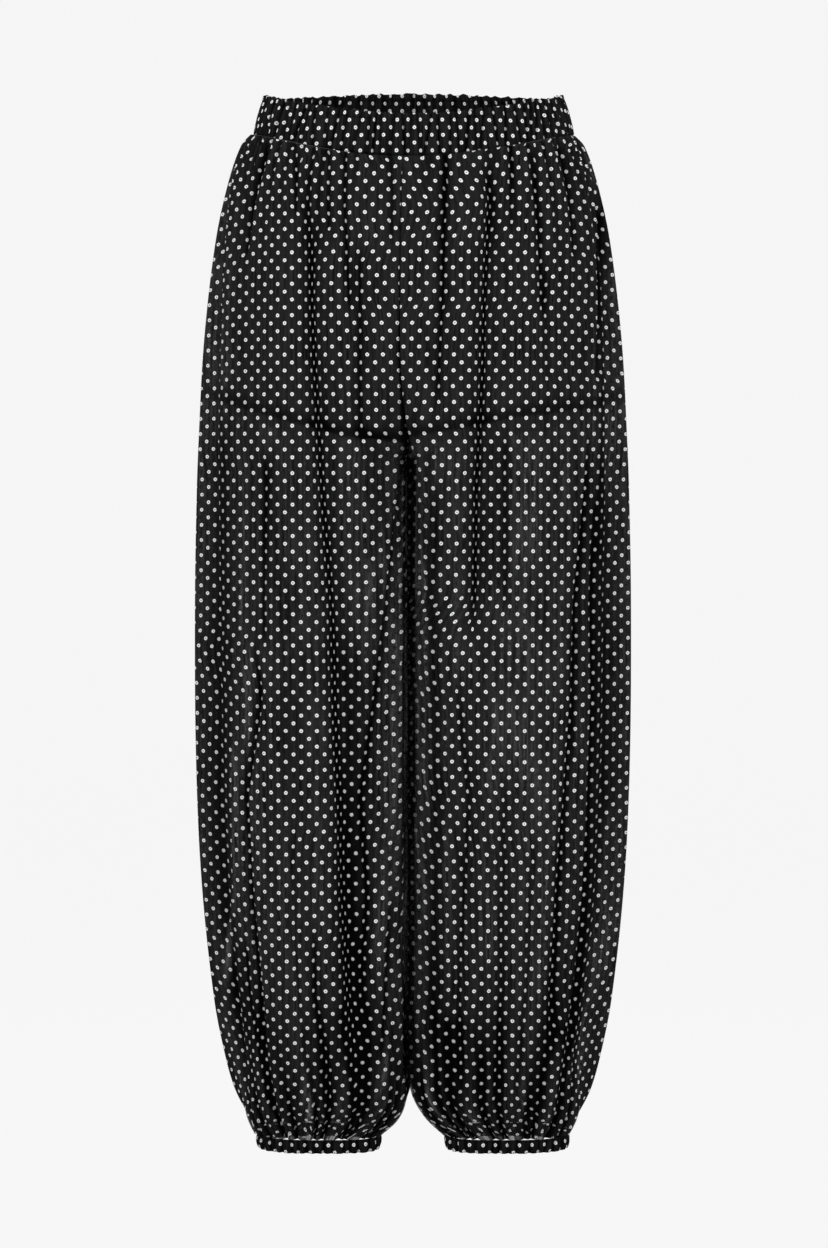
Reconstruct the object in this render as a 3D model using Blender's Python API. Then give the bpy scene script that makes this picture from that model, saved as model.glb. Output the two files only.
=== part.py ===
"""Balloon trousers of sheer chiffon over a short lining, filled out as if they were worn.

Frame: metres, +Z up. The origin is the centre of the waist, at the middle of the waistband's side.
The front faces -Y, and the wearer's left leg is at +X.

The cloth is cut as a front and a back for each leg, gathered into an elastic waistband and into two
elastic ankle cuffs. A pair of short lining legs hangs inside from the waist seam.
Every panel is a thin wall laid through level sections. A section of one leg runs, seen from above,
from the centre seam or the inseam round the front or the back to the side seam.
"""

import math

import bmesh
import bpy
from mathutils import Vector

MM = 0.001

# ---------------------------------------------------------------- driving sizes, in millimetres
SEAM_GAP = 0.3          # between two pieces that are sewn together
CLOTH_WALL = 1.5        # chiffon, drawn thicker than it is so that it is a solid
LINING_WALL = 1.2
BAND_WALL = 3.0         # elastic in a casing
CUFF_WALL = 2.4

GATHERS_PER_PANEL = 12  # each gather is a crest and a trough
COLUMNS = 2 * GATHERS_PER_PANEL
WAIST_GATHER = 2.2      # height of a crest above the mean surface, at the waist seam
WAIST_GATHER_REACH = 62.0
CUFF_GATHER = 2.2
CUFF_GATHER_TOP = -865.0
CUFF_GATHER_FULL = -955.0

FRONT_ROUNDNESS = 2.5   # exponent of the outer quarter of a section: 2 is an ellipse
INNER_ROUNDNESS = 2.7   # the inner leg is flatter, where the legs lie side by side

CROTCH = -313.0         # height of the crotch seam
RISE_CURVE = 105.0      # height over which the centre seams curve under to the crotch
LINING_CROTCH = -285.0
LINING_RISE_CURVE = 90.0

# The centre seams stand a little to one side, in front to the wearer's right and behind to the left.
LEAN_MIDDLE = -1.4
LEAN_PER_DEPTH = 0.064
LEAN_REACH = 210.0      # the sides are not moved
LEAN_FULL, LEAN_NONE = -450.0, -919.0

# Edges of the waistband, by their heights at the centre front, the sides and the centre back.
BAND_TOP = {"front": 5.5, "side": 31.0, "back": 45.0}
BAND_BOTTOM = {"front": -34.5, "side": -5.8, "back": 8.0}
BAND_NARROWING = (9.6, 6.0)     # how much less its top is in half width and in depth

CUFF_TOP, CUFF_BOTTOM = -966.5, -976.5

# Half width, front depth, back depth, width of the inner quarter, half the gap between the legs, how
# far the centre seams are sunk into the cloth, and the share of the outer quarter that is filled out:
# the rest hangs as a flat wing along the side seam.
OUTER_SECTIONS = [
    # height  half_width  front  back  inner  gap  sunk  filled
    (-5.8, 155.0, 100.0, 108.0, 8.0, 0.15, 0.0, 1.00),
    (-15.0, 163.7, 106.0, 116.0, 10.0, 0.15, 0.6, 1.00),
    (-48.0, 175.7, 116.0, 130.0, 15.0, 0.15, 2.5, 0.98),
    (-106.0, 188.7, 125.0, 146.0, 26.0, 0.15, 5.0, 0.94),
    (-202.0, 200.3, 130.0, 156.0, 44.0, 0.15, 8.0, 0.89),
    (-300.0, 206.0, 129.0, 148.0, 64.0, 0.50, 10.0, 0.85),
    (-345.0, 207.8, 127.0, 141.0, 71.0, 1.20, 10.0, 0.83),
    (-450.0, 210.0, 121.0, 129.0, 82.0, 1.80, 10.0, 0.79),
    (-600.0, 209.6, 116.0, 121.0, 92.0, 1.80, 10.0, 0.76),
    (-722.0, 204.6, 111.0, 116.0, 96.0, 1.80, 10.0, 0.74),
    (-838.0, 192.6, 100.0, 105.0, 93.0, 1.80, 10.0, 0.73),
    (-895.0, 181.5, 87.0, 92.0, 87.0, 2.20, 10.0, 0.78),
    (-926.0, 172.4, 74.0, 78.0, 80.0, 4.80, 10.0, 0.86),
    (-948.5, 160.8, 55.0, 58.0, 68.0, 15.90, 10.0, 0.95),
    (-966.5, 149.3, 37.0, 39.0, 57.9, 33.50, 10.0, 1.00),
]
WIDTH, FRONT, BACK, INNER, GAP, SUNK, FILLED = 1, 2, 3, 4, 5, 6, 7
WING_SLOPE = 1.1        # how steeply the front and the back of a wing part from each other

# How far the lining stands inside the outer cloth, to its side, front and back.
LINING_EASE = [
    # height  side  front  back
    (-5.8, 6.6, 6.0, 6.6),
    (-48.0, 10.0, 13.0, 12.0),
    (-106.0, 17.0, 18.0, 18.0),
    (-202.0, 27.0, 20.0, 20.0),
    (-263.0, 32.0, 20.0, 19.0),
    (-302.0, 34.0, 20.0, 18.0),
]
LINING_CENTRE = 0.75    # its inner quarters are narrower and its centre seams less sunk than outside

# Rows of the leg panels: height at the side seam, and the share of the waist's slope still in them.
LEG_ROWS = [
    # side_height  slope_share
    (-6.1, 1.00),
    (-15.0, 0.97),
    (-30.0, 0.88),
    (-52.0, 0.72),
    (-85.0, 0.45),
    (-125.0, 0.18),
    (-170.0, 0.03),
    (-208.0, 0.0),
    (-240.5, 0.0),
    (-270.0, 0.0),
    (-293.0, 0.0),
    (-307.8, 0.0),
    (-313.0, 0.0),
    (-350.0, 0.0),
    (-430.0, 0.0),
    (-530.0, 0.0),
    (-630.0, 0.0),
    (-720.0, 0.0),
    (-795.0, 0.0),
    (-855.0, 0.0),
    (-897.0, 0.0),
    (-926.0, 0.0),
    (-948.0, 0.0),
    (-966.2, 0.0),
]

# Rows of the lining: height at the centre or inner edge, and at the side seam. The first four
# follow the slope of the waist instead.
LINING_ROWS = [
    # inner_height  side_height
    (None, -6.1),
    (None, -20.0),
    (None, -55.0),
    (None, -110.0),
    (-170.0, -165.0),
    (-195.0, -188.0),
    (-225.0, -210.0),
    (-253.0, -230.0),
    (-274.0, -245.0),
    (-285.0, -253.0),
    (-302.0, -263.0),
]
LINING_COLUMNS = 12
LINING_LEVEL = 150.0    # the slope of the waist is gone this far down

# Large folds, each a trough or, with a negative depth, a ridge that follows one column of its panel.
FOLDS = {
    "right_leg_front": [
        # column  top  foot  half_width_in_columns  depth
        (3, -33.0, -130.0, 1.2, 4.5),
        (6, -30.0, -190.0, 1.4, 6.5),
        (5, -120.0, -300.0, 1.3, 3.5),
        (8, -20.0, -110.0, 1.2, 4.0),
        (10, -25.0, -950.0, 2.2, 12.5),
        (13, -240.0, -900.0, 2.0, -4.0),
        (16, -10.0, -860.0, 1.7, 6.0),
        (20, -300.0, -900.0, 1.6, 4.0),
        (7, -330.0, -930.0, 1.5, 6.0),
    ],
    "left_leg_front": [
        (3, -33.0, -210.0, 1.2, 6.0),
        (8, -30.0, -470.0, 2.0, 12.0),
        (11, -22.0, -120.0, 1.2, 4.0),
        (13, -40.0, -160.0, 1.5, 4.0),
        (16, -20.0, -890.0, 1.9, 8.0),
        (14, -250.0, -880.0, 1.6, -3.5),
        (20, -330.0, -930.0, 1.6, 5.0),
        (6, -360.0, -930.0, 1.5, 6.5),
        (10, -560.0, -950.0, 1.8, 5.0),
    ],
    "right_leg_back": [
        (3, -20.0, -230.0, 1.3, 5.0),
        (6, -15.0, -300.0, 1.5, 7.0),
        (9, -15.0, -940.0, 2.2, 11.5),
        (13, -20.0, -420.0, 1.8, 6.5),
        (17, -20.0, -900.0, 2.0, 7.0),
        (13, -480.0, -930.0, 1.8, 5.5),
        (6, -380.0, -930.0, 1.5, 5.5),
    ],
    "left_leg_back": [
        (4, -20.0, -260.0, 1.4, 6.0),
        (8, -15.0, -930.0, 2.2, 11.5),
        (11, -20.0, -300.0, 1.4, 5.0),
        (14, -25.0, -560.0, 1.8, 7.0),
        (17, -20.0, -900.0, 2.0, 7.5),
        (12, -620.0, -940.0, 1.8, 5.5),
        (5, -360.0, -930.0, 1.5, 5.0),
    ],
}
FOLD_EASE = 0.16        # share of a fold's length over which it rises at each end

# Where two columns of each panel stand, by their distance from the centre plane.
COLUMN_LINES = {
    "right_leg_front": (10, 17, [
        # height  first_column  second_column
        (-12.0, 104.0, 147.0),
        (-69.0, 104.0, 163.0),
        (-143.0, 103.0, 173.0),
        (-280.0, 93.0, 173.0),
        (-410.0, 84.0, 161.0),
        (-567.0, 77.0, 154.0),
        (-700.0, 71.0, 150.0),
        (-790.0, 67.0, 146.0),
    ]),
    "left_leg_front": (8, 17, [
        (-12.0, 66.0, 150.0),
        (-69.0, 66.0, 163.0),
        (-143.0, 66.0, 169.0),
        (-280.0, 64.0, 172.0),
        (-410.0, 53.0, 160.0),
        (-567.0, 48.0, 147.0),
        (-700.0, 45.0, 138.0),
        (-790.0, 44.0, 134.0),
    ]),
    "right_leg_back": (9, 18, [
        (-12.0, 78.0, 138.0),
        (-69.0, 86.0, 155.0),
        (-143.0, 91.0, 168.0),
        (-280.0, 88.0, 177.0),
        (-410.0, 80.0, 173.0),
        (-567.0, 74.0, 168.0),
        (-700.0, 70.0, 163.0),
        (-790.0, 66.0, 156.0),
    ]),
    "left_leg_back": (8, 18, [
        (-12.0, 70.0, 140.0),
        (-69.0, 76.0, 158.0),
        (-143.0, 82.0, 170.0),
        (-280.0, 80.0, 180.0),
        (-410.0, 73.0, 178.0),
        (-567.0, 66.0, 173.0),
        (-700.0, 61.0, 168.0),
        (-790.0, 57.0, 160.0),
    ]),
}
HOLD_TOP, HOLD_FULL = -15.0, -75.0      # below the waist the lines take over from even columns
HOLD_LAST, HOLD_NONE = -790.0, -925.0   # and they give way to them above the cuff

BAND_ROWS = [
    # up  swell  gather
    (0.00, 0.0, WAIST_GATHER),
    (0.14, 0.3, 1.4),
    (0.50, 1.6, 1.7),
    (0.84, 0.6, 1.4),
    (1.00, 0.4, 2.3),
]
CUFF_ROWS = [
    (0.0, 0.4, 1.8),
    (0.4, 1.2, 1.4),
    (1.0, 0.0, CUFF_GATHER),
]

COLOURS = {
    # name: base colour, roughness
    "chiffon": ((0.017, 0.017, 0.018, 1.0), 0.75),
    "lining": ((0.012, 0.012, 0.013, 1.0), 0.85),
    "waistband": ((0.020, 0.020, 0.021, 1.0), 0.75),
    "cuff": ((0.018, 0.018, 0.019, 1.0), 0.75),
}

QUARTER_STEPS = 40      # points of each quarter of a section before its columns are spaced out


# ---------------------------------------------------------------- small mathematics
def smoothstep(value):
    value = min(1.0, max(0.0, value))
    return value * value * (3.0 - 2.0 * value)


def along_table(table, column, height):
    """A smooth curve through one column of a table whose first column is a falling height."""
    if height >= table[0][0]:
        return table[0][column]
    if height <= table[-1][0]:
        return table[-1][column]
    i = next(k for k in range(len(table) - 1) if height >= table[k + 1][0])

    def slope(k):
        low, high = max(0, k - 1), min(len(table) - 1, k + 1)
        return (table[high][column] - table[low][column]) / (table[high][0] - table[low][0])

    span = table[i + 1][0] - table[i][0]
    s = (height - table[i][0]) / span
    rise = smoothstep(s)
    return (
        table[i][column] * (1.0 - rise)
        + table[i + 1][column] * rise
        + slope(i) * span * s * (1.0 - s) ** 2
        - slope(i + 1) * span * s * s * (1.0 - s)
    )


def quarter(half_x, half_y, exponent, step):
    """A point of a quarter superellipse: at step 0 it is (0, half_y), at step 1 (half_x, 0)."""
    angle = 0.5 * math.pi * step
    power = 2.0 / exponent
    return half_x * math.sin(angle) ** power, half_y * max(0.0, math.cos(angle)) ** power


# ---------------------------------------------------------------- sections of one leg, seen from above
def section(sizes, depth_column, height):
    """Points of the front or back half of a leg's section, from the inner edge to the side seam.

    x is the distance from the centre plane and y the distance in front of, or behind, the side seam.
    The inner edge is on the centre seam above the crotch and on the inseam below it.
    """
    crotch, rise, look_up = sizes
    depth, inner, gap = look_up(depth_column, height), look_up(INNER, height), look_up(GAP, height)
    above_crotch = min(1.0, max(0.0, (height - crotch) / rise))
    edge = (depth - look_up(SUNK, height)) * math.sqrt(1.0 - (1.0 - above_crotch) ** 2)
    points = [(0.5 * SEAM_GAP if edge > 0.0 else gap, edge)]
    for k in range(1, QUARTER_STEPS):
        # From the edge, where the wall runs straight forward, round to the front.
        along, out = quarter(depth - edge, inner, INNER_ROUNDNESS, k / QUARTER_STEPS)
        points.append((gap + inner - out, edge + along))
    across = look_up(WIDTH, height) - gap - inner
    filled = look_up(FILLED, height)
    for k in range(QUARTER_STEPS):
        x, y = quarter(filled * across, depth, FRONT_ROUNDNESS, k / QUARTER_STEPS)
        if x > 0.5 * across and y < WING_SLOPE * (across - x):
            break
        points.append((gap + inner + x, y))
    points.append((gap + inner + across, 0.0))
    return points


def runs_of(points):
    """Length along a section up to each of its points."""
    runs = [0.0]
    for (ax, ay), (bx, by) in zip(points, points[1:]):
        runs.append(runs[-1] + math.hypot(bx - ax, by - ay))
    return runs


def point_at(points, runs, run):
    i = next((k for k in range(len(points) - 2) if runs[k + 1] >= run), len(points) - 2)
    (ax, ay), (bx, by) = points[i], points[i + 1]
    step = (run - runs[i]) / max(1e-9, runs[i + 1] - runs[i])
    return ax + (bx - ax) * step, ay + (by - ay) * step


def run_to(points, runs, x):
    """Length along a section up to where it first stands as far out as x."""
    i = next((k for k in range(len(points) - 1) if points[k + 1][0] >= x), len(points) - 2)
    (ax, _), (bx, _) = points[i], points[i + 1]
    return runs[i] + (runs[i + 1] - runs[i]) * min(1.0, max(0.0, (x - ax) / max(1e-9, bx - ax)))


def column_run(name, points, runs, j, columns, height):
    """Length along a section up to column j: evenly spaced, or led by the panel's lines."""
    even = runs[-1] * j / columns
    if name not in COLUMN_LINES:
        return even
    first, second, table = COLUMN_LINES[name]
    hold = smoothstep((HOLD_TOP - height) / (HOLD_TOP - HOLD_FULL))
    hold *= 1.0 - smoothstep((HOLD_LAST - height) / (HOLD_LAST - HOLD_NONE))
    knots = [
        (0, 0.0),
        (first, run_to(points, runs, along_table(table, 1, height))),
        (second, run_to(points, runs, along_table(table, 2, height))),
        (columns, runs[-1]),
    ]
    (c0, r0), (c1, r1) = next((a, b) for a, b in zip(knots, knots[1:]) if j <= b[0])
    return even + hold * (r0 + (r1 - r0) * (j - c0) / (c1 - c0) - even)


def row_of(name, sizes, face, columns, height_at):
    """Points, outward directions and heights along one row of a panel, half a gap inside its seams."""
    crotch, depth_column = sizes[0], FRONT if face == "front" else BACK
    flats, heights = [], []
    for j in range(columns + 1):
        height = height_at(j / columns)
        points = section(sizes, depth_column, height)
        runs = runs_of(points)
        run = column_run(name, points, runs, j, columns, height)
        least = 0.5 * SEAM_GAP if height <= crotch else 0.0
        flats.append(point_at(points, runs, min(runs[-1] - 0.5 * SEAM_GAP, max(least, run))))
        heights.append(height)
    outs = []
    for j in range(columns + 1):
        (ax, ay), (bx, by) = flats[max(0, j - 1)], flats[min(columns, j + 1)]
        size = math.hypot(bx - ax, by - ay)
        outs.append(((ay - by) / size, (bx - ax) / size))
    outs[-1] = (1.0, 0.0)
    if heights[0] <= crotch:
        outs[0] = (-1.0, 0.0)
    return flats, outs, heights


def outer_sizes():
    return CROTCH, RISE_CURVE, lambda column, height: along_table(OUTER_SECTIONS, column, height)


def lining_sizes():
    def look_up(column, height):
        size = along_table(OUTER_SECTIONS, column, height)
        if column <= BACK:
            return size - along_table(LINING_EASE, column, height)
        if column == FILLED:
            return 1.0
        return size if column == GAP else LINING_CENTRE * size

    return LINING_CROTCH, LINING_RISE_CURVE, look_up


# ---------------------------------------------------------------- folds and gathers
def fold_depth(folds, column, height):
    """How far the large folds push the cloth inwards at one column of a panel."""
    total = 0.0
    for middle, top, foot, half_width, depth in folds:
        s = (top - height) / (top - foot)
        off = abs(column - middle) / half_width
        if 0.0 < s < 1.0 and off < 1.0:
            ease = smoothstep(s / FOLD_EASE) * smoothstep((1.0 - s) / FOLD_EASE)
            total += depth * ease * (0.5 + 0.5 * math.cos(math.pi * off))
    return total


def gather_height(side_height):
    """Height of the gathers' crests at a row of a leg panel: tall at the waist and at the cuff."""
    below_waist = LEG_ROWS[0][0] - side_height
    at_waist = WAIST_GATHER * (1.0 - smoothstep(below_waist / WAIST_GATHER_REACH))
    span = CUFF_GATHER_TOP - CUFF_GATHER_FULL
    return at_waist + CUFF_GATHER * smoothstep((CUFF_GATHER_TOP - side_height) / span)


def crest(column):
    return 1.0 if column % 2 == 0 else -1.0


def sloped(edge, face, share):
    """Height along an edge that is stated at the centre and the side; share is 0 at the centre."""
    return edge["side"] + (edge[face] - edge["side"]) * math.cos(0.5 * math.pi * share) ** 2


# ---------------------------------------------------------------- solids
def material(kind):
    found = bpy.data.materials.get(kind)
    if found:
        return found
    colour, roughness = COLOURS[kind]
    made = bpy.data.materials.new(kind)
    made.use_nodes = True
    shader = made.node_tree.nodes["Principled BSDF"]
    shader.inputs["Base Color"].default_value = colour
    shader.inputs["Roughness"].default_value = roughness
    shader.inputs["Metallic"].default_value = 0.0
    return made


def cloth_solid(name, outer, inner, closed, kind):
    """One closed wall between two grids of points; a closed one is a ring without side edges."""
    mesh = bmesh.new()
    skins = [[[mesh.verts.new(point) for point in row] for row in grid] for grid in (outer, inner)]
    rows, columns = len(outer), len(outer[0])
    across = columns if closed else columns - 1
    for skin in skins:
        for i in range(rows - 1):
            for j in range(across):
                k = (j + 1) % columns
                mesh.faces.new((skin[i][j], skin[i][k], skin[i + 1][k], skin[i + 1][j]))
    rims = [[(i, j, i, (j + 1) % columns) for j in range(across)] for i in (0, rows - 1)]
    if not closed:
        rims += [[(i, j, i + 1, j) for i in range(rows - 1)] for j in (0, columns - 1)]
    for rim in rims:
        for a, b, c, d in rim:
            mesh.faces.new((skins[0][a][b], skins[0][c][d], skins[1][c][d], skins[1][a][b]))
    bmesh.ops.recalc_face_normals(mesh, faces=mesh.faces)
    data = bpy.data.meshes.new(name)
    mesh.to_mesh(data)
    mesh.free()
    data.materials.append(material(kind))
    piece = bpy.data.objects.new(name, data)
    bpy.context.scene.collection.objects.link(piece)
    return piece


def placed(side, face, flat, height):
    """A point of a section, x outwards and y away from the side seam, set in the trousers' frame."""
    y = -flat[1] if face == "front" else flat[1]
    lean = (LEAN_MIDDLE + LEAN_PER_DEPTH * y) * max(0.0, 1.0 - abs(flat[0]) / LEAN_REACH)
    lean *= smoothstep((height - LEAN_NONE) / (LEAN_FULL - LEAN_NONE))
    return Vector((side * flat[0] + lean, y, height)) * MM


def moved_out(flats, outs, pushes, depth):
    """Points of a row, each moved out by its push and back in by a depth."""
    return [
        (x + out_x * (push - depth), y + out_y * (push - depth))
        for (x, y), (out_x, out_y), push in zip(flats, outs, pushes)
    ]


def panel(name, side, face, sizes, columns, rows, wall, kind):
    """A wall through rows of a panel. A row gives the height at a share and the push at a column."""
    grids = ([], [])
    for height_at, push_at in rows:
        flats, outs, heights = row_of(name, sizes, face, columns, height_at)
        pushes = [push_at(j, heights[j]) for j in range(columns + 1)]
        for grid, depth in zip(grids, (0.0, wall)):
            skin = moved_out(flats, outs, pushes, depth)
            # The wall's edge at the centre stays on its own side of the centre plane.
            skin[0] = (max(0.5 * SEAM_GAP, skin[0][0]), skin[0][1])
            grid.append([placed(side, face, flat, height) for flat, height in zip(skin, heights)])
    return cloth_solid(name, grids[0], grids[1], False, kind)


def leg_panel(side, face):
    """The front or the back of one leg, from the waist seam to the cuff seam."""
    name = f"{'left' if side > 0 else 'right'}_leg_{face}"

    def row(side_height, slope_share):
        def height_at(share):
            return side_height + slope_share * (sloped(BAND_BOTTOM, face, share) - BAND_BOTTOM["side"])

        def push_at(j, height):
            return crest(j) * gather_height(side_height) - fold_depth(FOLDS[name], j, height)

        return height_at, push_at

    rows = [row(*sizes) for sizes in LEG_ROWS]
    return panel(name, side, face, outer_sizes(), COLUMNS, rows, CLOTH_WALL, "chiffon")


def lining_panel(side, face):
    """The front or the back of one short lining leg, hung from the waist seam."""
    name = f"lining_{'left' if side > 0 else 'right'}_{face}"

    def row(inner_height, side_height):
        def height_at(share):
            if inner_height is not None:
                return side_height + (inner_height - side_height) * (1.0 - share)
            slope = sloped(BAND_BOTTOM, face, share) - BAND_BOTTOM["side"]
            return side_height + slope * (1.0 - smoothstep(-side_height / LINING_LEVEL))

        return height_at, lambda j, height: 0.0

    rows = [row(*heights) for heights in LINING_ROWS]
    return panel(name, side, face, lining_sizes(), LINING_COLUMNS, rows, LINING_WALL, "lining")


def gathered_ring(name, quarters, level, edges, narrowing, rows, wall, kind):
    """A ring through quarters of sections, each given as its side, face and whether it runs back."""
    sizes = outer_sizes()
    grids = ([], [])
    for up, swell, gather in rows:
        skins = ([], [])
        for side, face, backwards in quarters:
            flats, outs, _ = row_of(None, sizes, face, COLUMNS, lambda share: level)
            least = 0.0 if level > CROTCH else flats[0][0]
            flats[0] = (least, flats[0][1] if level > CROTCH else 0.0)
            outs[0] = (0.0, 1.0) if level > CROTCH else (-1.0, 0.0)
            flats[-1] = (flats[-1][0], 0.0)
            slim = [1.0 - up * less / sizes[2](column, level) for less, column in zip(narrowing, (WIDTH, FRONT))]
            pushes = [swell + crest(j) * gather for j in range(COLUMNS + 1)]
            low, high = edges(face)
            for skin, depth in zip(skins, (0.0, wall)):
                flats_out = moved_out([(x * slim[0], y * slim[1]) for x, y in flats], outs, pushes, depth)
                points = [
                    placed(side, face, flat, low(j / COLUMNS) + up * (high(j / COLUMNS) - low(j / COLUMNS)))
                    for j, flat in enumerate(flats_out)
                ]
                skin += points[:0:-1] if backwards else points[:-1]
        for grid, skin in zip(grids, skins):
            grid.append(skin)
    return cloth_solid(name, grids[0], grids[1], True, kind)


def waistband():
    """One gathered ring: an elastic casing with a narrow frilled heading along its top."""
    quarters = [(1, "front", False), (1, "back", True), (-1, "back", False), (-1, "front", True)]

    def edges(face):
        return (lambda share: sloped(BAND_BOTTOM, face, share)), (lambda share: sloped(BAND_TOP, face, share))

    return gathered_ring(
        "waistband", quarters, BAND_BOTTOM["side"], edges, BAND_NARROWING, BAND_ROWS, BAND_WALL, "waistband"
    )


def cuff(side):
    """The elastic casing round one ankle."""
    quarters = [(side, "front", False), (side, "back", True)]

    def edges(face):
        return (lambda share: CUFF_BOTTOM), (lambda share: CUFF_TOP)

    name = f"{'left' if side > 0 else 'right'}_cuff"
    return gathered_ring(name, quarters, CUFF_TOP, edges, (0.0, 0.0), CUFF_ROWS, CUFF_WALL, "cuff")


def build():
    for obj in list(bpy.data.objects):
        bpy.data.objects.remove(obj)
    waistband()
    for side in (1, -1):
        cuff(side)
        for face in ("front", "back"):
            leg_panel(side, face)
            lining_panel(side, face)


build()
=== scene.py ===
# %% [markdown]
# # Polka-dot balloon trousers
#
# These trousers are sewn from black chiffon, a thin crinkled cloth that lets light through. Wide legs
# are gathered into an elastic waistband and into two narrow elastic cuffs, and a short lining hangs
# inside. A plain solid model of them is already there. This lesson dresses it: each plain solid is
# replaced by a thin shell of cloth on the same form, with gathers, folds and a printed dot.

# %% Load the plain model
import math

import bpy
import numpy as np
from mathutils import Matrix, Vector


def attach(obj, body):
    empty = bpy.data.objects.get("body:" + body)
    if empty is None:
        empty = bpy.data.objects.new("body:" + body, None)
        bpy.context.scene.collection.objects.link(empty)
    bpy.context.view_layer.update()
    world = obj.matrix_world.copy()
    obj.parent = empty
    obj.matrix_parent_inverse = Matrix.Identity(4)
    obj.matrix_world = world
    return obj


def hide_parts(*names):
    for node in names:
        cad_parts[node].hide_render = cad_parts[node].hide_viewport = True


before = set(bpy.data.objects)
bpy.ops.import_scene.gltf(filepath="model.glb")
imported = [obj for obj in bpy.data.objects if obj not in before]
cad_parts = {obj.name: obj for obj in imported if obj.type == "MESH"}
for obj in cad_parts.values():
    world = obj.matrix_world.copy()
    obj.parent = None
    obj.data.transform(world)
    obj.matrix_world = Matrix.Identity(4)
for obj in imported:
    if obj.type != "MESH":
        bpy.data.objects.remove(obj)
bpy.ops.object.select_all(action="DESELECT")
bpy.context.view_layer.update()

# %% [markdown]
# ## Sizes
#
# Cloth has no edges to snap to, so its form is worked out from a few tables. All lengths here are in
# millimetres, and the origin is the centre of the waist. A row gives the size of one leg at a height:
# how wide it is, how deep in front and behind, and how it is rounded. The same numbers shape the
# plain model, so that the cloth lies where its solid is.

# %% Tables of the outer form
MM = 0.001
MID_GAP = 0.15  # half of the seam's gap
SIDES, FACES = {1: "left", -1: "right"}, ("front", "back")

SECTION_COLUMNS = ("height", "width", "front", "back", "inner", "gap", "sunk", "filled")
OUTER_SECTIONS = np.array([
    (-5.8, 155, 100, 108, 8, 0.15, 0, 1),
    (-15, 163.7, 106, 116, 10, 0.15, 0.6, 1),
    (-48, 175.7, 116, 130, 15, 0.15, 2.5, 0.98),
    (-106, 188.7, 125, 146, 26, 0.15, 5, 0.94),
    (-202, 200.3, 130, 156, 44, 0.15, 8, 0.89),
    (-300, 206, 129, 148, 64, 0.50, 10, 0.85),
    (-345, 207.8, 127, 141, 71, 1.20, 10, 0.83),
    (-450, 210, 121, 129, 82, 1.80, 10, 0.79),
    (-600, 209.6, 116, 121, 92, 1.80, 10, 0.76),
    (-722, 204.6, 111, 116, 96, 1.80, 10, 0.74),
    (-838, 192.6, 100, 105, 93, 1.80, 10, 0.73),
    (-895, 181.5, 87, 92, 87, 2.20, 10, 0.78),
    (-926, 172.4, 74, 78, 80, 4.80, 10, 0.86),
    (-948.5, 160.8, 55, 58, 68, 15.90, 10, 0.95),
    (-966.5, 149.3, 37, 39, 57.9, 33.50, 10, 1),
])
# How far the lining stands inside the outer cloth: height, then to its side, front and back.
LINING_EASE = np.array([
    (-5.8, 6.6, 6, 6.6),
    (-48, 10, 13, 12),
    (-106, 17, 18, 18),
    (-202, 27, 20, 20),
    (-263, 32, 20, 19),
    (-302, 34, 20, 18),
])
CROTCH = {"outer": (-313.0, 105.0), "lining": (-285.0, 90.0)}  # its height, and that of the curve above
WING_SLOPE = 1.1  # slope at which a section turns into its flat wing
FRONT_ROUNDNESS, INNER_ROUNDNESS = 2.5, {"front": 3.5, "back": 2.7}
BAND_TOP = {"front": 5.5, "side": 31.0, "back": 45.0}
BAND_BOTTOM = {"front": -34.5, "side": -5.8, "back": 8.0}
BAND_HALF, BAND_NARROWING = (155.0, 104.0), (9.6, 6.0)  # half width and depth, and how much less at the top
CUFF_TOP, CUFF_BOTTOM = -966.5, -976.5
# How far the insides of the legs stand to one side, and a wave in them from front to back.
LEAN_MIDDLE, LEAN_PER_DEPTH, LEAN_REACH, LEAN_FULL, LEAN_NONE = -1.4, 0.064, 210.0, -885.0, -955.0
LEAN_WAVE, LEAN_WAVE_LENGTH = 4.0, 110.0
print("rows of sizes:", len(OUTER_SECTIONS), "outside,", len(LINING_EASE), "for the lining")


# %% [markdown]
# ## From tables to a surface
#
# Half a section of a leg runs from its inner edge round the front or the back to the side seam. It
# is drawn as two quarters of a rounded oval, and ends in a flat wing along the side seam. Sections are
# stacked at many heights and stored as a map, and any point of the cloth is then looked up by its
# height and its share of the way round.

# %% Look-ups along a table
def smooth(value):
    value = np.clip(value, 0.0, 1.0)
    return value * value * (3.0 - 2.0 * value)


def bell(value, middle, width):
    """1 at the middle, and falling softly to 0 on both sides of it."""
    return np.exp(-(((value - middle) / width) ** 2))


def along(table, column, height):
    """A smooth curve through one column of a table whose first column is a falling height."""
    levels, sizes = table[:, 0], table[:, column]
    height = np.clip(height, levels[-1], levels[0])
    i = np.clip(np.searchsorted(-levels, -height, side="right") - 1, 0, len(levels) - 2)
    low, high = np.maximum(i - 1, 0), np.minimum(i + 2, len(levels) - 1)
    slope_a = (sizes[i + 1] - sizes[low]) / (levels[i + 1] - levels[low])
    slope_b = (sizes[high] - sizes[i]) / (levels[high] - levels[i])
    span = levels[i + 1] - levels[i]
    s = (height - levels[i]) / span
    bend = slope_a * s * (1.0 - s) ** 2 - slope_b * s * s * (1.0 - s)
    return sizes[i] * (1.0 - smooth(s)) + sizes[i + 1] * smooth(s) + bend * span


def size_at(kind, what, height):
    """One size of the outer cloth or of the lining at a height."""
    column = SECTION_COLUMNS.index(what)
    size = float(along(OUTER_SECTIONS, column, height))
    if kind == "outer" or what == "gap":
        return size
    if what == "filled":
        return 1.0
    if column <= 3:
        return size - float(along(LINING_EASE, column, height))
    return 0.75 * size


print("half width at the hem of the lining:", round(size_at("outer", "width", -302.0), 1), "mm")

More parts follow.
